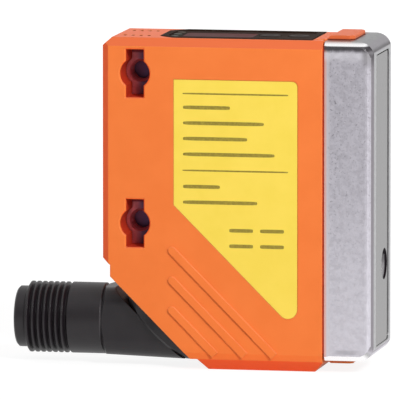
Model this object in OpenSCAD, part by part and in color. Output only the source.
// Laser photoelectric switch: a flat block housing with a metal front frame,
// a rear swivel plug and a display panel on top.
// Millimetres. +X is the sensing direction, +Z is up, Y is the thin way.
// The origin is on the underside of the foot, at half depth and half thickness.

/* [Housing] */
// Depth from the rear face to the front of the metal frame
body_d = 45.8; // [44:0.1:52]
// Thickness over the ribs of both sides
body_t = 18.2; // [17.2:0.1:20]
// Height of the top face over the foot
body_h = 55.25; // [54.5:0.05:62]
// Wall of the moulded housing
wall = 1.5; // [1.2:0.1:1.8]
// Height of the foot below the sides
foot_h = 1.85; // [1.2:0.05:2.2]
// Length of the foot's underside
foot_len = 18; // [14:0.5:20]
// Bevel along the top edges
top_bevel = 1.35; // [0.8:0.05:1.5]
// Bevel along the rear edges
rear_bevel = 1.1; // [0.6:0.05:1.4]
// Height of the lower end of the rear face
rear_face_z = 18.4; // [17.5:0.1:20]
// Height of the narrow strip along the lower edge of the sides
strip_h = 1.05; // [0.6:0.05:1.6]

/* [Side ribs] */
// How far the ribs stand out of the sides
rib_h = 0.25; // [0.1:0.05:0.4]
// Width of a rib
rib_w = 1.3; // [0.8:0.1:1.8]
// Vertical distance from rib to rib
rib_pitch = 5; // [4:0.1:5.5]
// Number of ribs on each side
rib_count = 3; // [1:1:3]
// Height of the upper end of the top rib
rib_top_z = 19.9; // [18.5:0.1:20.5]

/* [Mounting openings] */
// Distance between the two openings
hole_pitch = 25; // [23:0.1:27]
// Distance from the top face to the centre of the upper opening
hole_drop = 5.9; // [5:0.1:6.6]
// Distance from the rear face to the openings
hole_inset = 5.6; // [5.2:0.1:6]
// Diameter of the round part of an opening
eye_d = 5; // [4.9:0.1:5.6]
// Height of the slotted part of an opening
slot_h = 8; // [6.5:0.1:8.4]
// Width of the slotted part of an opening
slot_w = 3; // [2:0.1:3.6]
// Depth of the open pocket on each side, down to the insert
pocket_d = 5.3; // [3:0.1:5.6]
// Diameter of the screw threads in an insert
screw_d = 3.3; // [2.5:0.1:4.2]
// Depth of each screw thread
screw_depth = 2.9; // [1.5:0.1:3]

/* [Front frame] */
// Depth of the metal frame
frame_d = 8.25; // [8.25:0.05:9]
// Side walls of the metal frame
frame_wall = 1.4; // [1:0.1:1.6]
// Bevel along the side edges of the metal frame
frame_bevel = 0.85; // [0.4:0.05:1]
// Length of the slight taper along the rear rim of the metal frame
rim_len = 0.9; // [0.4:0.1:1.2]
// Radius of the top and bottom front corners
frame_corner_r = 2.5; // [1.5:0.1:2.8]
// Radius of the upright front edges
frame_edge_r = 1.4; // [0.5:0.1:1.5]
// Height of the underside of the metal frame
frame_low_z = 2.1; // [1.9:0.05:2.4]
// Thickness of the seal between housing and frame
seal_t = 0.35; // [0.2:0.05:0.5]
// Width of the front window
window_w = 12; // [11.5:0.1:13.2]
// Height of the front window
window_h = 48.4; // [46:0.1:48.8]
// Thickness of the front window
window_t = 1.45; // [1:0.05:1.6]
// How far the window lies behind the front of the frame
window_recess = 0.15; // [0.1:0.05:0.4]

/* [Snap tongues] */
// Width of the tongues that hold the frame
tongue_w = 11; // [7:0.5:12]
// Reach of the tongues over the frame
tongue_len = 4.8; // [4.4:0.1:5.6]
// Height of the tongue's nose over the frame
nose_h = 0.75; // [0.4:0.05:0.8]

/* [Optics] */
// Height of the laser beam
beam_z = 17.2; // [15:0.1:19]
// Distance of the laser beam from the middle of the window
emitter_y = 2.6; // [0:0.1:2.8]
// Height of the centre of the receiver lens
receiver_z = 36; // [33.5:0.1:38]
// Diameter of the laser's exit lens
emitter_d = 5; // [4:0.1:5.4]
// How far the exit lens lies behind the window's face
emitter_recess = 0.9; // [0:0.1:1.2]
// Diameter of the receiver lens
receiver_d = 11.2; // [9:0.1:11.2]
// Depth of the block that carries the optics
carrier_len = 14.8; // [13:0.1:16]

/* [Top panel] */
// Length of the panel
panel_len = 26; // [24.5:0.1:27]
// Width of the panel
panel_w = 13.8; // [13.4:0.1:14]
// Distance from the front end of the panel to the frame
panel_gap = 2.45; // [2.3:0.05:3]
// How far the panel stands out of the top face
panel_rise = 0.1; // [0:0.05:0.2]
// Width of the raised rim round the panel's field
panel_rim = 1.2; // [0.6:0.1:1.4]
// Depth of the field below the rim
field_drop = 0.2; // [0.1:0.05:0.4]
// Length of the cut across each rear corner of the panel
panel_cut = 2.6; // [1.6:0.1:3]
// Width of the display window
display_w = 6.4; // [5:0.1:7]
// Diameter of a push-button
button_d = 3.5; // [2.8:0.1:3.7]
// Distance between the push-buttons
button_pitch = 4.9; // [4.8:0.1:5.1]
// Travel of a push-button
button_travel = 0.35; // [0.2:0.05:0.4]

/* [Swivel plug] */
// Height of the plug's axis when it points to the rear
plug_z = 7.27; // [7.2:0.05:7.6]
// Distance from the rear face to the swivel's centre
swivel_inset = 9.5; // [9:0.1:10]
// Outside diameter of the thread and of the sleeve behind it
thread_d = 11.9; // [11:0.1:12]
// Pitch of the thread
thread_pitch = 1; // [0.75:0.25:1]
// Number of thread crests
thread_turns = 7; // [4:1:7]
// Depth of the thread
thread_depth = 0.58; // [0.4:0.02:0.7]
// Distance from the swivel's centre to the end of the plug
plug_len = 26.3; // [26:0.1:30]
// Length of the plain collar in front of the thread
collar_len = 2.35; // [1.5:0.05:2.6]
// Diameter of the plain collar
collar_d = 10.2; // [9.8:0.1:10.6]
// Width of the elbow block
elbow_w = 12.6; // [12.2:0.1:13.4]
// Radius of the long edges of the elbow block
elbow_corner_r = 3; // [2:0.1:4]
// Diameter of the swivel flange
flange_d = 15.2; // [14.4:0.1:15.6]
// Thickness of the swivel flange
flange_t = 1.8; // [1.2:0.1:2.2]
// Diameter of the spigot in the housing
spigot_d = 10; // [9:0.1:10.4]
// Thickness of the housing wall round the spigot
seat_wall = 3.4; // [3:0.1:3.8]

/* [Socket] */
// Inside diameter of the plug's socket
socket_d = 8.6; // [8.4:0.1:9]
// Depth of the socket over the contact carrier
socket_depth = 8.6; // [7:0.1:9]
// Diameter of the contact pins' circle
pin_circle_d = 5; // [4.4:0.1:5.2]
// Diameter of a contact pin
pin_d = 1; // [0.8:0.1:1.1]
// Number of contact pins on the circle
pin_count = 4; // [3:1:4]

/* [Side label] */
// Distance from the label's upper edge to the top face
label_drop = 6.75; // [5:0.05:8]
// Distance from the rear face to the label
label_inset = 12.2; // [11.8:0.1:13]
// Width of the label
label_w = 20.85; // [18:0.05:21.5]
// Height of the label's lower tip
label_low_z = 8.8; // [8:0.1:12]
// Height at which the label's left edge turns to the tip
label_turn_z = 27.55; // [26.5:0.05:29]
// Thickness of the label
label_t = 0.12; // [0.08:0.02:0.2]

/* [Clearances] */
// Gap round pieces that are set into an opening
fit_gap = 0.1; // [0.05:0.01:0.12]
// Radial running gap of the swivel
running_gap = 0.05; // [0.03:0.01:0.08]
// Gap between the faces of the swivel
face_gap = 0.1; // [0.05:0.01:0.2]

/* [Hidden] */
$fn = 64;
eps = 0.01;

rear_x = -body_d / 2;
front_x = body_d / 2;
side_y = body_t / 2 - rib_h;
cavity_y = side_y - wall;
frame_x = front_x - frame_d;
mouth_x = frame_x - seal_t;
frame_y = side_y + 0.2;
frame_in_y = frame_y - frame_wall;

// The foot and the lower edge of the sides
foot_x1 = mouth_x - 1.5;
foot_x0 = foot_x1 - foot_len;
foot_slope = foot_h - 0.25;
strip_in = 0.25;

// Snap tongues: thickness of the root, and room left round it
tongue_root = 0.7;

// The rear step over the swivel seat
step_x = rear_x + rear_bevel + 0.3;
step_z = rear_face_z - rear_bevel;

// Depth of the round seal's middle below the seat
seal_z = 1.55;

// Way for the wires through the elbow
wire_r = 2.6;

// Where the sleeve leaves the elbow's block, and how far it stands proud of the block there
sleeve_z = 10.3;
sleeve_step = 0.3;

// The carrier in the plug, how far the pins stick out behind it, and how far they end behind the rim
carrier_t = 6;
carrier_low = plug_len - socket_depth - carrier_t;
pin_tail = 1;
pin_back = 1.6;

// The swivel's seat is the plane x + z = seat_sum, facing rearwards and down
swivel_x = rear_x + swivel_inset;
seat_sum = swivel_x + plug_z;

// Mounting openings
hole_x = rear_x + hole_inset;
hole_zs = [body_h - hole_drop - hole_pitch, body_h - hole_drop];

// The cavity behind the front mouth
cavity_x = hole_x + eye_d / 2 + 2.1;
cavity_low_z = foot_h + wall;
cavity_top_z = body_h - wall;

// Stack of the top panel, from its top face down
panel_x1 = mouth_x - panel_gap + seal_t;
panel_x0 = panel_x1 - panel_len;
panel_t = 1.1;
panel_top_z = body_h + panel_rise;
panel_low_z = panel_top_z - panel_t;
panel_seal_t = 0.2;
panel_floor_z = panel_low_z - panel_seal_t;
ledge_w = 0.9;
throat_x0 = max(cavity_x, panel_x0 + ledge_w);
throat_x1 = panel_x1 - ledge_w;
throat_y = panel_w / 2 - ledge_w;
post_r = 0.7;
post_x = throat_x0 + 2.6;
display_board_t = 0.8;
display_board_z = panel_low_z - 4.7;
field_z = panel_top_z - field_drop;
button_gap = 0.15;
button_x = panel_x1 - panel_rim - button_d / 2 - 0.4;
led_r = 0.7;
led_w = 1.6;
led_h = 0.6;
led_x = throat_x0 + 1;
led_ys = [-3.2, 0, 3.2];

// Key switches under the buttons
switch_w = 3.6;
switch_h = 1.5;
switch_key_r = 0.8;
switch_key_h = 0.5;
stem_r = 0.9;

// The display fills the field between the lamps and the buttons
display_x0 = led_x + led_r + 0.5;
display_x1 = button_x - button_pitch - button_d / 2 - button_gap - 0.6;
display_len = display_x1 - display_x0;
display_x = (display_x0 + display_x1) / 2;
pane_t = 0.4;

// Window and its seat in the front frame
window_z = frame_low_z + (body_h - frame_low_z) / 2 - 0.1;
window_gap = 0.15;
pane_z = window_z - window_gap + 0.05;
window_seal_t = 0.2;
window_x1 = front_x - window_recess;
window_x0 = window_x1 - window_t;
rebate_x = window_x0 - window_seal_t;
ledge_t = 0.55;
frame_in_x = rebate_x - ledge_t;
frame_ledge_w = 0.6;

// Thickness of the boards, and the place of the main board across the housing
board_t = 0.8;
board_y = cavity_y - 0.5 - board_t;

// Optics block
carrier_x1 = frame_in_x - 0.15;
carrier_x0 = carrier_x1 - carrier_len;
carrier_head_x = mouth_x - 1.2;
carrier_y0 = -cavity_y + 0.15;
carrier_y1 = board_y - 0.5;
carrier_z0 = cavity_low_z + 1.55;
carrier_z1 = display_board_z - 0.9;

// Laser can in the optics block, from its flange forward, and the room round it
can_r = 1.35;
can_len = 1.5;
can_flange_r = 1.9;
can_flange_t = 1;
can_flange_x = carrier_x0 + 2.2;
seat_gap = 0.1;

// Receiver: seat depth of its lens, and the filter and the chip behind it
lens_seat_x = carrier_x1 - 2.6;
filter_w = 5;
filter_t = 0.75;
filter_x = carrier_x0 + 1.6;
receiver_chip_w = 4;

// Main board, its header and its circuits
board_x0 = cavity_x + 0.4;
board_x1 = carrier_head_x - 0.4;
board_z0 = cavity_low_z + 0.4;
board_z1 = display_board_z - 0.1;
board_cut = seat_sum + 9.6;
header_w = 6;
header_h = 3;
header_x = board_x0 + 6.4;
header_y = board_y - 2.6;
header_z = plug_z + 5.6;
header_top = header_z + header_h;
chip_t = 1.3;
big_chip_w = 7;
long_chip_w = 5;
long_chip_h = 8;
small_chip_w = 3;

// Points of an arc round centre c, from angle a0 to a1
function arc(c, r, a0, a1, n = 10) =
    [for (i = [0:n]) c + r * [cos(a0 + (a1 - a0) * i / n), sin(a0 + (a1 - a0) * i / n)]];

// Extrudes an outline drawn in X and Z from y0 to y1
module along_y(y0, y1) {
    translate([0, y1, 0]) rotate([90, 0, 0]) linear_extrude(height = y1 - y0) children();
}

// Extrudes an outline drawn in Y and Z from x0 to x1
module along_x(x0, x1) {
    translate([x0, 0, 0]) rotate([90, 0, 90]) linear_extrude(height = x1 - x0) children();
}

// A block between two corners
module block(a, b) {
    translate(a) cube(b - a);
}

// A cylinder along +X from x0 to x1
module rod_x(x0, x1, r0, r1, y = 0, z = 0) {
    translate([x0, y, z]) rotate([0, 90, 0]) cylinder(h = x1 - x0, r1 = r0, r2 = r1);
}

// Rectangle w by h round the origin with four round corners
module round_rect(w, h, r) {
    square([w - 2 * r, h], center = true);
    square([w, h - 2 * r], center = true);
    for (x = [-1, 1], y = [-1, 1]) {
        translate([x * (w / 2 - r), y * (h / 2 - r)]) circle(r);
    }
}

// Places its children on both sides of the housing
module both_sides() {
    children();
    mirror([0, 1, 0]) children();
}

// Puts the Z axis on the swivel axis: z = 0 is the seat, +z points into the housing
module at_swivel() {
    translate([swivel_x, 0, plug_z]) rotate([0, 45, 0]) children();
}

// Puts the Z axis on the plug's axis: z = 0 is the swivel centre, +z points to the rear
module at_plug() {
    translate([swivel_x, 0, plug_z]) rotate([0, -90, 0]) children();
}

// Side outline of the housing in X and Z
function side_outline() = [
    [foot_x0, 0], [foot_x1, 0], [mouth_x, foot_slope], [mouth_x, body_h],
    [step_x + 0.1, body_h], [rear_x + rear_bevel - 0.3, body_h - top_bevel / 2],
    [rear_x, body_h - top_bevel], [rear_x, rear_face_z], [step_x, step_z],
    [step_x, seat_sum - step_x], [seat_sum - foot_h, foot_h],
    [foot_x0 - foot_slope, foot_h]
];

// Plan outline of the housing in X and Y, with the rear bevels
function plan_outline() = [
    [rear_x, -side_y + rear_bevel], [rear_x + rear_bevel, -side_y], [mouth_x, -side_y],
    [mouth_x, side_y], [rear_x + rear_bevel, side_y], [rear_x, side_y - rear_bevel]
];

// End outline of the housing in Y and Z: foot, tilted strips, sides and top bevels
function end_outline() = let (
        foot_y = side_y - strip_in - foot_h,
        half = [[foot_y, 0], [side_y - strip_in, foot_h], [side_y, foot_h + strip_h],
                [side_y, body_h - top_bevel], [side_y - top_bevel, body_h]])
    concat(half, [for (i = [len(half) - 1:-1:0]) [-half[i][0], half[i][1]]]);

// The solid block of the housing, before it is hollowed
module housing_block() {
    intersection() {
        along_y(-side_y, side_y) polygon(side_outline());
        linear_extrude(height = body_h) polygon(plan_outline());
        along_x(rear_x, mouth_x) polygon(end_outline());
    }
}

// Raised ribs at 45 degrees, parallel to the swivel's seat, on the -Y side
module side_ribs() {
    rib_x = rear_x + 11.9;
    for (i = [0:rib_count - 1]) {
        z = rib_top_z - i * rib_pitch;
        run = (z - foot_h - strip_h * 0.75) * sqrt(2);
        translate([rib_x, -side_y - rib_h, z]) rotate([-90, 0, 0]) {
            cylinder(h = rib_h + eps, r = rib_w / 2);
            rotate([0, 0, 45]) translate([0, -rib_w / 2, 0]) cube([run, rib_w, rib_h + eps]);
        }
    }
}

// Keyhole outline of a mounting opening, grown by g
module keyhole(g = 0) {
    circle(eye_d / 2 + g);
    square([slot_w + 2 * g, slot_h + 2 * g], center = true);
}

// Bevel round the rim of a mounting opening on the -Y side
module keyhole_rim() {
    rim = 0.2;
    w = slot_w / 2;
    h = slot_h / 2;
    translate([0, -side_y - eps, 0]) {
        rotate([-90, 0, 0]) cylinder(h = rim, r1 = eye_d / 2 + rim, r2 = eye_d / 2);
        intersection() {
            along_x(-w - rim, w + rim) polygon([[0, -h - rim], [rim, -h], [rim, h], [0, h + rim]]);
            linear_extrude(height = 2 * slot_h, center = true)
                polygon([[-w - rim, 0], [-w, rim], [w, rim], [w + rim, 0]]);
        }
    }
}

// Inside of the housing, open to the front
module cavity() {
    seat_in = seat_sum + seat_wall * sqrt(2);
    along_y(-cavity_y, cavity_y) polygon([
        [mouth_x + 1, cavity_low_z], [mouth_x + 1, cavity_top_z], [cavity_x, cavity_top_z],
        [cavity_x, seat_in - cavity_x], [seat_in - cavity_low_z, cavity_low_z]
    ]);
    // Room for the spigot and its clip behind the swivel's seat
    at_swivel() translate([0, 0, seat_wall]) cylinder(h = 3.2, r = spigot_d / 2 + 1.5);
    // Cored-out space between the two mounting openings
    block([rear_x + wall + 0.3, -cavity_y, hole_zs[0] + slot_h / 2 + 2],
          [cavity_x + 1, cavity_y, hole_zs[1] - slot_h / 2 - 2]);
}

// Outline of the top panel in X and Y, with its rear corners cut, grown by g
module panel_outline(g = 0) {
    cut = panel_cut + g * (2 - sqrt(2));
    y = panel_w / 2 + g;
    polygon([
        [panel_x0 - g, -y + cut], [panel_x0 - g + cut, -y], [panel_x1 + g, -y],
        [panel_x1 + g, y], [panel_x0 - g + cut, y], [panel_x0 - g, y - cut]
    ]);
}

// Opening below the panel, inside its ledge, from z0 to z1
module throat(z0, z1) {
    intersection() {
        translate([0, 0, z0]) linear_extrude(height = z1 - z0) panel_outline(-ledge_w);
        block([throat_x0, -panel_w, z0 - 1], [panel_x1, panel_w, z1 + 1]);
    }
}

// One snap tongue over the frame's top, with its nose and its lug
module tongue(base_z) {
    w = tongue_w / 2;
    root = tongue_root;
    tip = mouth_x + tongue_len;
    nose_x = mouth_x + 0.1;
    corner = 0.75 * sqrt(2);
    difference() {
        along_y(-w, w) polygon([
            [mouth_x - wall, base_z - root], [tip, base_z - root], [tip, base_z + nose_h - 0.2],
            [tip - 0.2, base_z + nose_h], [nose_x + 0.8, base_z + nose_h],
            [nose_x, base_z + 0.12], [mouth_x - wall, base_z + 0.12],
            [mouth_x - wall - 0.12, base_z]
        ]);
        for (s = [-1, 1]) {
            translate([tip, s * w, base_z]) rotate([0, 0, 45]) cube([corner, corner, 6], center = true);
        }
    }
    block([tip - 2.4, -w + 1.6, base_z - root - 0.55], [tip - 1.2, w - 1.6, base_z - root + eps]);
}

// Groove and lug pocket for a tongue in the frame's top
module tongue_groove(base_z) {
    w = tongue_w / 2 + fit_gap;
    root = tongue_root + fit_gap;
    tip = mouth_x + tongue_len;
    block([mouth_x - 1, -w, base_z - root], [tip + fit_gap, w, base_z + 2]);
    block([tip - 2.4 - fit_gap, -w + 1.6, base_z - 4], [tip - 1.2 + fit_gap, w - 1.6, base_z]);
}

// Two rows of small recesses in the top face behind the panel
module rear_recesses() {
    w = 0.3;
    l = 0.65;
    pitch = 1.35;
    for (x = [rear_x + 3 : pitch : panel_x0 - pitch], y = [-0.28, 0.28] * panel_w) {
        block([x - w, y - l, body_h - 0.5], [x + w, y + l, body_h + 1]);
    }
}

// Moulded housing in one piece
module housing() {
    color([0.94, 0.50, 0.25]) difference() {
        union() {
            difference() {
                union() {
                    housing_block();
                    both_sides() side_ribs();
                }
                cavity();
                // Mouth of the panel and its ledge
                translate([0, 0, panel_floor_z]) linear_extrude(height = 4) panel_outline(fit_gap);
                throat(cavity_top_z - 1, body_h + 1);
            }
            tongue(body_h);
            translate([0, 0, frame_low_z]) mirror([0, 0, 1]) tongue(0);
        }
        // Mounting openings through both sides
        for (z = hole_zs) {
            translate([hole_x, 0, z]) {
                along_y(-body_t, body_t) keyhole();
                both_sides() keyhole_rim();
            }
        }
        rear_recesses();
        // Bore of the swivel
        at_swivel() translate([0, 0, -1]) cylinder(h = seat_wall + 2, r = spigot_d / 2 + running_gap);
        // Shallow bed of the side label
        along_y(-side_y - 1, -side_y + label_t - 0.03) label_outline(fit_gap / 2);
    }
}

// What is cut off a front corner of the metal frame, so that its bevel runs round the corner
module frame_corner() {
    r = frame_corner_r;
    b = frame_bevel;
    y = frame_y;
    difference() {
        block([0, -y - 1, 0], [r + 1, y + 1, r + 1]);
        rotate([90, 0, 0]) rotate_extrude()
            polygon([[0, -y], [r - b, -y], [r, -y + b], [r, y - b], [r - b, y], [0, y]]);
    }
}

// Plan outline of the metal frame: tapered rear rim, and round upright front edges
module frame_plan_outline() {
    r = frame_edge_r;
    rim_y = frame_y - 0.22;
    polygon(concat(
        [[frame_x + rim_len, frame_y], [frame_x, rim_y], [frame_x, -rim_y], [frame_x + rim_len, -frame_y]],
        arc([front_x - r, -frame_y + r], r, -90, 0, 6),
        arc([front_x - r, frame_y - r], r, 0, 90, 6)
    ));
}

// End outline of the metal frame with bevelled long edges
module frame_end_outline() {
    y = frame_y;
    b = frame_bevel;
    polygon([
        [-y + b, frame_low_z], [y - b, frame_low_z], [y, frame_low_z + b], [y, body_h - b],
        [y - b, body_h], [-y + b, body_h], [-y, body_h - b], [-y, frame_low_z + b]
    ]);
}

// Cast metal frame round the front window
module front_frame() {
    color([0.68, 0.68, 0.69]) difference() {
        intersection() {
            linear_extrude(height = body_h) frame_plan_outline();
            along_x(frame_x, front_x) frame_end_outline();
        }
        translate([front_x - frame_corner_r, 0, body_h - frame_corner_r]) frame_corner();
        translate([front_x - frame_corner_r, 0, frame_low_z + frame_corner_r])
            mirror([0, 0, 1]) frame_corner();
        // Inside, open to the rear
        block([frame_x - 1, -frame_in_y, frame_low_z + frame_wall + 0.1],
              [frame_in_x, frame_in_y, body_h - frame_wall - 0.1]);
        // Seat of the window and the opening behind it
        translate([0, 0, window_z]) {
            along_x(rebate_x, front_x + 1)
                round_rect(window_w + 2 * window_gap, window_h + 2 * window_gap, 1.1);
            along_x(frame_in_x - 1, front_x)
                round_rect(window_w - 2 * frame_ledge_w, window_h - 2 * frame_ledge_w, 0.8);
        }
        tongue_groove(body_h);
        translate([0, 0, frame_low_z]) mirror([0, 0, 1]) tongue_groove(0);
    }
}

// Flat seal between the housing's mouth and the metal frame
module frame_seal() {
    low = frame_low_z + tongue_root + 0.15;
    high = body_h - tongue_root - 0.15;
    inner_y = cavity_y - 0.05;
    color([0.16, 0.05, 0.05]) difference() {
        along_x(mouth_x, frame_x) translate([0, (low + high) / 2])
            round_rect(2 * side_y - 0.7, high - low, 0.8);
        block([mouth_x - 1, -inner_y, low + 1.2], [frame_x + 1, inner_y, high - 1.2]);
    }
}

// Window pane with a hole for the laser's exit lens
module front_window() {
    hole_r = emitter_d / 2 + fit_gap;
    color([0.12, 0.10, 0.11]) difference() {
        translate([0, 0, pane_z]) along_x(window_x0, window_x1) round_rect(window_w, window_h, 1);
        rod_x(window_x0 - 1, window_x1 + 1, hole_r, hole_r, emitter_y, beam_z);
    }
}

// Thin seal under the window's edge
module window_seal() {
    color([0.1, 0.1, 0.1]) translate([0, 0, pane_z]) difference() {
        along_x(rebate_x, window_x0) round_rect(window_w - 0.1, window_h - 0.1, 1);
        along_x(rebate_x - 1, window_x0 + 1)
            round_rect(window_w - 2 * frame_ledge_w + 0.2, window_h - 2 * frame_ledge_w + 0.2, 0.8);
    }
}

// Exit lens of the laser: a rod with a low dome in front
module emitter_lens() {
    r = emitter_d / 2;
    dome = 0.35;
    reach = window_x1 - emitter_recess - carrier_x1;
    color([0.55, 0.6, 0.65]) translate([carrier_x1, emitter_y, beam_z]) rotate([0, 90, 0])
        rotate_extrude() polygon(concat(
            [[0, 0], [r, 0]],
            [for (i = [0:8]) [r * cos(90 * i / 8), reach - dome + dome * sin(90 * i / 8)]]
        ));
}

// Black block that carries the lenses, the laser and the receiver
module optics_carrier() {
    can_x0 = can_flange_x + can_flange_t;
    can_x1 = can_x0 + can_len + 1;
    can_seat_r = can_r + seat_gap;
    flange_seat_r = can_flange_r + seat_gap;
    filter_x1 = filter_x + filter_t + 0.05;
    window = filter_w / 2 + seat_gap;
    color([0.07, 0.07, 0.08]) difference() {
        union() {
            block([carrier_x0, carrier_y0, carrier_z0], [carrier_head_x + 1, carrier_y1, carrier_z1]);
            block([carrier_head_x, -cavity_y + 0.15, carrier_z0], [mouth_x + 1, cavity_y - 0.15, carrier_z1]);
            block([mouth_x, -cavity_y + 0.25, carrier_z0], [carrier_x1, cavity_y - 0.25, carrier_z1]);
        }
        // Widening laser channel, the can's seat and the flange's seat
        rod_x(can_x0, carrier_x1 + 1, can_r - 0.4, emitter_d / 2 - 0.5, emitter_y, beam_z);
        rod_x(can_x0, can_x1, can_seat_r, can_seat_r, emitter_y, beam_z);
        rod_x(carrier_x0 - 1, can_x0 + seat_gap, flange_seat_r, flange_seat_r, emitter_y, beam_z);
        // Receiver lens seat, and the light cone to the receiver
        rod_x(lens_seat_x, carrier_x1 + 1, receiver_d / 2 + 0.05, receiver_d / 2 + 0.05, 0, receiver_z);
        rod_x(filter_x1, lens_seat_x + eps, window, receiver_d / 2 - 0.6, 0, receiver_z);
        block([carrier_x0 - 1, -window, receiver_z - window], [filter_x1 + 0.1, window, receiver_z + window]);
    }
}

// Receiver lens, flat behind and domed in front
module receiver_lens() {
    r = receiver_d / 2;
    dome = 1.3;
    rim = 1.1;
    ball = (r * r + dome * dome) / (2 * dome);
    color([0.75, 0.82, 0.85]) intersection() {
        rod_x(lens_seat_x, lens_seat_x + rim + 2 * dome, r, r, 0, receiver_z);
        translate([lens_seat_x + rim + dome - ball, 0, receiver_z]) sphere(ball, $fn = 96);
    }
}

// Filter glass in front of the receiver
module receiver_filter() {
    half = filter_w / 2;
    color([0.35, 0.1, 0.12])
        block([filter_x, -half, receiver_z - half], [filter_x + filter_t, half, receiver_z + half]);
}

// Laser in a metal can, with its flange and three legs
module laser_diode() {
    leg_r = 0.23;
    legs_at = can_r / 2;
    can_x0 = can_flange_x + can_flange_t;
    color([0.78, 0.68, 0.42]) {
        rod_x(can_flange_x, can_x0, can_flange_r, can_flange_r, emitter_y, beam_z);
        rod_x(can_x0 - eps, can_x0 + can_len, can_r, can_r, emitter_y, beam_z);
        for (a = [90, 210, 330]) {
            rod_x(carrier_x0 - 1.6, can_flange_x + eps, leg_r, leg_r,
                  emitter_y + legs_at * cos(a), beam_z + legs_at * sin(a));
        }
    }
}

// Small board behind the receiver
module receiver_board() {
    half = receiver_d / 2 + 0.4;
    color([0.1, 0.35, 0.2])
        block([carrier_x0 - board_t, -half + 0.5, receiver_z - half],
              [carrier_x0, carrier_y1 - 0.2, receiver_z + half]);
}

// Light-sensitive receiver on its board
module receiver_chip() {
    half = receiver_chip_w / 2;
    color([0.15, 0.15, 0.17])
        block([carrier_x0, -half, receiver_z - half], [filter_x - 0.4, half, receiver_z + half]);
}

// Main circuit board, upright along one side, with a cut corner over the swivel
module main_board() {
    color([0.1, 0.35, 0.2]) along_y(board_y, board_y + board_t) polygon([
        [board_x0, board_cut - board_x0], [board_cut - board_z0, board_z0],
        [board_x1, board_z0], [board_x1, board_z1], [board_x0, board_z1]
    ]);
}

// Circuits on the main board
module board_chips() {
    // Each one's distance from the board's rear edge, its lower edge, its width and its height
    chips = [
        [0.5, header_top + 4.6, big_chip_w, big_chip_w],
        [10, header_top + 1.6, small_chip_w + 1, long_chip_w],
        [2.5, board_z1 - 7.5 - long_chip_h, long_chip_w, long_chip_h],
        [9, board_z1 - 9 - small_chip_w, small_chip_w, small_chip_w],
        [10, board_z1 - 4 - small_chip_w, small_chip_w, small_chip_w]
    ];
    color([0.12, 0.12, 0.13]) for (c = chips) {
        translate([board_x0 + c[0], board_y - chip_t, c[1]]) cube([c[2], chip_t, c[3]]);
    }
}

// Header on the main board for the flat lead
module lead_header() {
    color([0.85, 0.83, 0.75])
        block([header_x - header_w / 2, header_y, header_z], [header_x + header_w / 2, board_y, header_top]);
}

// Flat lead from the mouth of the spigot to the header
module flat_lead() {
    t = 0.3;
    low = seat_wall - 0.4;
    bend = 7.6;
    half_w = 1.8;
    bend_x = swivel_x + bend / sqrt(2);
    bend_z = plug_z + bend / sqrt(2);
    color([0.8, 0.6, 0.25]) {
        at_swivel() translate([-t / 2, -half_w, low]) cube([t, 2 * half_w, bend - low]);
        block([bend_x - t, -half_w, bend_z - t], [bend_x + t, header_y, header_z + 0.8 * header_h]);
    }
}

// Board under the top panel
module display_board() {
    gap = 0.15;
    color([0.1, 0.35, 0.2]) intersection() {
        translate([0, 0, display_board_z])
            linear_extrude(height = display_board_t) panel_outline(-ledge_w - gap);
        block([throat_x0 + 2 * gap, -panel_w, display_board_z - 1],
              [throat_x1, panel_w, display_board_z + display_board_t + 1]);
    }
}

// Numeric display on its board
module display_module() {
    color([0.2, 0.2, 0.22])
        block([display_x - display_len / 2 + 0.7, -display_w / 2 + 0.4, display_board_z + display_board_t],
              [display_x + display_len / 2 - 0.7, display_w / 2 - 0.4, panel_low_z - 0.3]);
}

// Pane over the display, let into the panel
module display_window() {
    color([0.25, 0.05, 0.06]) translate([display_x, 0, field_z - pane_t])
        linear_extrude(height = pane_t - 0.03)
            round_rect(display_len - fit_gap, display_w - fit_gap, 0.6);
}

// Black panel with its openings and the four posts that carry the board
module top_panel() {
    post_top = panel_low_z + eps;
    post_low = display_board_z + display_board_t;
    color([0.16, 0.14, 0.14]) difference() {
        union() {
            translate([0, 0, panel_low_z]) linear_extrude(height = panel_t) panel_outline();
            for (x = [post_x, throat_x1 - 1.1], y = [-1, 1]) {
                translate([x, y * (throat_y - 0.9), post_low])
                    cylinder(h = post_top - post_low, r = post_r, $fn = 24);
            }
        }
        translate([0, 0, field_z]) linear_extrude(height = 1) panel_outline(-panel_rim);
        translate([display_x, 0, field_z - pane_t]) linear_extrude(height = 3)
            round_rect(display_len, display_w, 0.6);
        translate([display_x, 0, panel_low_z - 1]) linear_extrude(height = 3)
            round_rect(display_len - 1.2, display_w - 1.2, 0.4);
        for (i = [0, 1]) {
            translate([button_x - i * button_pitch, 0, panel_low_z - 1])
                cylinder(h = 4, r = button_d / 2 + button_gap);
        }
        for (y = led_ys) {
            translate([led_x, y, panel_low_z - 1]) cylinder(h = 4, r = led_r + 0.05, $fn = 24);
        }
    }
}

// Seal under the panel's edge
module panel_seal() {
    color([0.1, 0.1, 0.1]) translate([0, 0, panel_floor_z]) difference() {
        linear_extrude(height = panel_seal_t) panel_outline(-0.1);
        throat(-1, 2);
    }
}

// Push-button number i, turned in one piece: stem, retaining flange and dished cap
module button(i) {
    r = button_d / 2;
    top = field_z + 0.15;
    flange_t = 0.5;
    flange_z = panel_low_z - flange_t - 0.1;
    low = display_board_z + display_board_t + switch_h + switch_key_h + button_travel + 0.05;
    color([0.3, 0.3, 0.32]) translate([button_x - i * button_pitch, 0, 0]) rotate_extrude() polygon([
        [0, low], [stem_r, low], [stem_r, flange_z], [r + flange_t, flange_z],
        [r + flange_t, flange_z + flange_t], [r, flange_z + flange_t], [r, top - 0.15],
        [r - 0.15, top], [r - 0.4, top], [0, top - 0.2]
    ]);
}

module set_button() button(0);

module mode_button() button(1);

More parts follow.
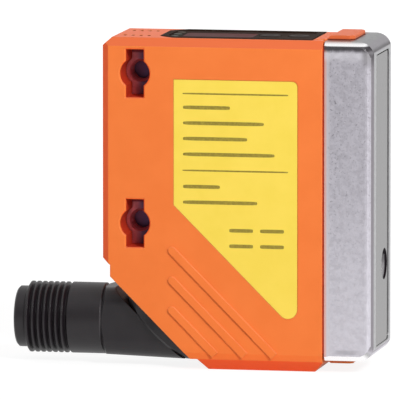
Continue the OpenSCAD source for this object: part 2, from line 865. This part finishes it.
// Two key switches on the board, under the buttons
module button_switches() {
    low = display_board_z + display_board_t;
    color([0.75, 0.75, 0.72]) for (i = [0, 1]) {
        translate([button_x - i * button_pitch, 0, low]) {
            translate([-switch_w / 2, -switch_w / 2, 0]) cube([switch_w, switch_w, switch_h]);
            translate([0, 0, switch_h - eps]) cylinder(h = switch_key_h + eps, r = switch_key_r, $fn = 32);
        }
    }
}

// Three indicator lamps on the board
module indicator_leds() {
    color([0.9, 0.85, 0.5]) for (y = led_ys) {
        translate([led_x - led_w / 2, y - led_r, display_board_z + display_board_t])
            cube([led_w, 2 * led_r, led_h]);
    }
}

// Three clear rods that lead the lamps' light to the panel's face
module light_guides() {
    low = display_board_z + display_board_t + led_h + 0.2;
    color([0.85, 0.88, 0.85]) for (y = led_ys) {
        translate([led_x, y, low]) cylinder(h = field_z + 0.05 - low, r = led_r, $fn = 24);
    }
}

// Keyed metal insert in the middle of a mounting opening, with a blind screw thread from each side
module insert(z) {
    reach = side_y - pocket_d;
    color([0.3, 0.3, 0.32]) translate([hole_x, 0, z]) difference() {
        along_y(-reach, reach) keyhole(-0.02);
        both_sides() {
            along_y(-reach - 1, -reach + screw_depth) circle(screw_d / 2);
            translate([0, -reach - eps, 0]) rotate([-90, 0, 0])
                cylinder(h = 0.4, r1 = screw_d / 2 + 0.3, r2 = screw_d / 2 - 0.1);
        }
    }
}

module upper_insert() insert(hole_zs[1]);

module lower_insert() insert(hole_zs[0]);

// Label outline in X and Z: square above, with one edge running at 45 degrees to a round tip
module label_outline(g = 0) {
    x0 = rear_x + label_inset - g;
    x1 = rear_x + label_inset + label_w + g;
    z1 = body_h - label_drop + g;
    tip_r = 1.6 + g;
    diagonal = x0 + g + label_turn_z - g * sqrt(2);
    tip_x = x1 - tip_r;
    tip_z = max(label_low_z - g + tip_r, diagonal + tip_r * sqrt(2) - tip_x);
    turn = diagonal + tip_r * sqrt(2);
    polygon(concat(
        [[x0, diagonal - x0], [x0, z1]],
        arc([x1 - 0.9, z1 - 0.9], 0.9, 90, 0, 6),
        arc([tip_x, tip_z], tip_r, 0, -90, 8),
        arc([turn - tip_z, tip_z], tip_r, -90, -135, 4)
    ));
}

// Film label on the -Y side
module side_label() {
    color([0.95, 0.84, 0.35])
        along_y(-side_y - 0.03, -side_y + label_t - 0.03) label_outline(0);
}

// Half section of the plug: collar, thread crests and sleeve, as radius over distance
function plug_outline() = let (
        r = thread_d / 2,
        root = r - thread_depth,
        thread_end = plug_len - collar_len,
        first = thread_end - 0.9)
    concat(
        [[0, sleeve_z - 1], [r - 1, sleeve_z - 1], [r - 1, sleeve_z], [r - 0.2, sleeve_z],
         [r, sleeve_z + 0.2], [r, first - (thread_turns - 1) * thread_pitch - 0.95],
         [r - 0.35, first - (thread_turns - 1) * thread_pitch - 0.7]],
        [for (i = [thread_turns - 1:-1:0], p = [[root, -0.5], [r, -0.14], [r, 0.14], [root, 0.5]])
            [p[0], first - i * thread_pitch + p[1] * thread_pitch]],
        [[collar_d / 2, thread_end - 0.2], [collar_d / 2, plug_len - 0.3],
         [collar_d / 2 - 0.3, plug_len], [0, plug_len]]
    );

// Half section of the flange, and of the spigot with its seal and clip grooves, as radius over depth
function spigot_outline() = let (
        r = spigot_d / 2,
        rim = flange_d / 2,
        back = -face_gap - flange_t,
        clip_z = seat_wall + face_gap,
        end_z = clip_z + 1.6)
    [
        [0, back], [rim - 0.4, back], [rim, back + 0.4], [rim, -face_gap - 0.15],
        [rim - 0.15, -face_gap], [r, -face_gap],
        [r, seal_z - 0.75], [r - 1.3, seal_z - 0.75], [r - 1.3, seal_z + 0.75], [r, seal_z + 0.75],
        [r, clip_z], [r - 0.6, clip_z], [r - 0.6, clip_z + 0.7], [r, clip_z + 0.7],
        [r, end_z - 0.3], [r - 0.3, end_z], [0, end_z]
    ];

// Block behind the sleeve, with round edges and a moulding draft that narrows it towards z1
module drafted_block(z0, z1, r0, r1) {
    x = thread_d / 2 - elbow_corner_r;
    y = elbow_w / 2 - elbow_corner_r;
    along_y(-y, y) polygon([[-x - r0, z0], [x + r0, z0], [x + r1, z1], [-x - r1, z1]]);
    along_x(-x, x) polygon([[-y - r0, z0], [y + r0, z0], [y + r1, z1], [-y - r1, z1]]);
    for (cx = [-x, x], cy = [-y, y]) {
        translate([cx, cy, z0]) cylinder(h = z1 - z0, r1 = r0, r2 = r1);
    }
}

// Solid plug with its block, cut off along the flange
module plug_solid() {
    block_end = sleeve_z + 0.2;
    draft = 0.35;
    neck = thread_d / 2 - sleeve_step;
    low = -thread_d;
    wide = 2 * elbow_w;
    at_plug() difference() {
        union() {
            rotate_extrude() polygon(plug_outline());
            // The block's end is bevelled steeply down to the sleeve, and runs a little way into it
            intersection() {
                drafted_block(low, block_end, elbow_corner_r - draft * low / block_end, elbow_corner_r - draft);
                rotate_extrude() polygon([
                    [0, low], [wide, low], [wide, sleeve_z - (wide - neck) / 2], [neck, sleeve_z],
                    [neck, block_end], [0, block_end]
                ]);
            }
        }
        // Everything on the housing's side of the flange is cut away
        rotate([0, 135, 0]) translate([-40, -40, -flange_t]) cube([80, 80, 80]);
    }
}

// Swivel elbow in one piece: threaded plug, block, flange and spigot, with a key in the socket
module swivel_elbow() {
    color([0.22, 0.21, 0.22]) {
        at_plug() translate([socket_d / 2 - 0.55, -0.6, plug_len - socket_depth])
            cube([0.75, 1.2, socket_depth - 1.2]);
        difference() {
            union() {
                plug_solid();
                at_swivel() rotate_extrude($fn = 96) polygon(spigot_outline());
            }
            at_plug() {
                // Socket, the carrier's seat, room for the pins' ends and the way for the wires
                translate([0, 0, carrier_low]) cylinder(h = plug_len, r = socket_d / 2);
                translate([0, 0, carrier_low - pin_tail - 0.5])
                    cylinder(h = plug_len, r = (pin_circle_d + pin_d) / 2 + 0.3);
                cylinder(h = plug_len, r = wire_r);
            }
            at_swivel() cylinder(h = 20, r = wire_r + 0.1);
            translate([swivel_x, 0, plug_z]) sphere(wire_r + 0.4);
        }
    }
}

// Places children at each contact pin, in the plug's own frame
module at_pins() {
    for (i = [0:pin_count - 1]) {
        rotate([0, 0, 45 + 360 * i / pin_count]) translate([pin_circle_d / 2, 0, 0]) children();
    }
}

// Insulating carrier of the contact pins
module contact_carrier() {
    color([0.12, 0.12, 0.13]) at_plug() difference() {
        translate([0, 0, carrier_low]) cylinder(h = carrier_t, r = socket_d / 2 - 0.03);
        at_pins() translate([0, 0, carrier_low - 1])
            cylinder(h = carrier_t + 2, r = pin_d / 2 + 0.02, $fn = 24);
    }
}

// Contact pins, ending a little inside the rim
module contact_pins() {
    low = carrier_low - pin_tail;
    straight = plug_len - pin_back - low;
    color([0.85, 0.7, 0.35]) at_plug() at_pins() translate([0, 0, low]) {
        cylinder(h = straight, r = pin_d / 2, $fn = 24);
        translate([0, 0, straight - eps]) cylinder(h = 0.35, r1 = pin_d / 2, r2 = pin_d / 4, $fn = 24);
    }
}

// Round seal in the spigot's groove
module swivel_seal() {
    r = 0.63;
    color([0.08, 0.08, 0.08]) at_swivel() translate([0, 0, seal_z])
        rotate_extrude() translate([spigot_d / 2 - r - 0.01, 0]) circle(r, $fn = 24);
}

// Open spring clip that keeps the spigot in the housing
module swivel_clip() {
    color([0.7, 0.7, 0.72]) at_swivel() translate([0, 0, seat_wall + face_gap + 0.05]) difference() {
        cylinder(h = 0.6, r = spigot_d / 2 + 1);
        translate([0, 0, -1]) cylinder(h = 3, r = spigot_d / 2 - 0.55);
        translate([0, -1.8, -1]) cube([10, 3.6, 3]);
    }
}

housing();
front_frame();
frame_seal();
front_window();
window_seal();
emitter_lens();
optics_carrier();
receiver_lens();
receiver_filter();
laser_diode();
receiver_board();
receiver_chip();
main_board();
board_chips();
lead_header();
flat_lead();
display_board();
display_module();
display_window();
top_panel();
panel_seal();
set_button();
mode_button();
button_switches();
indicator_leds();
light_guides();
upper_insert();
lower_insert();
side_label();
swivel_elbow();
contact_carrier();
contact_pins();
swivel_seal();
swivel_clip();
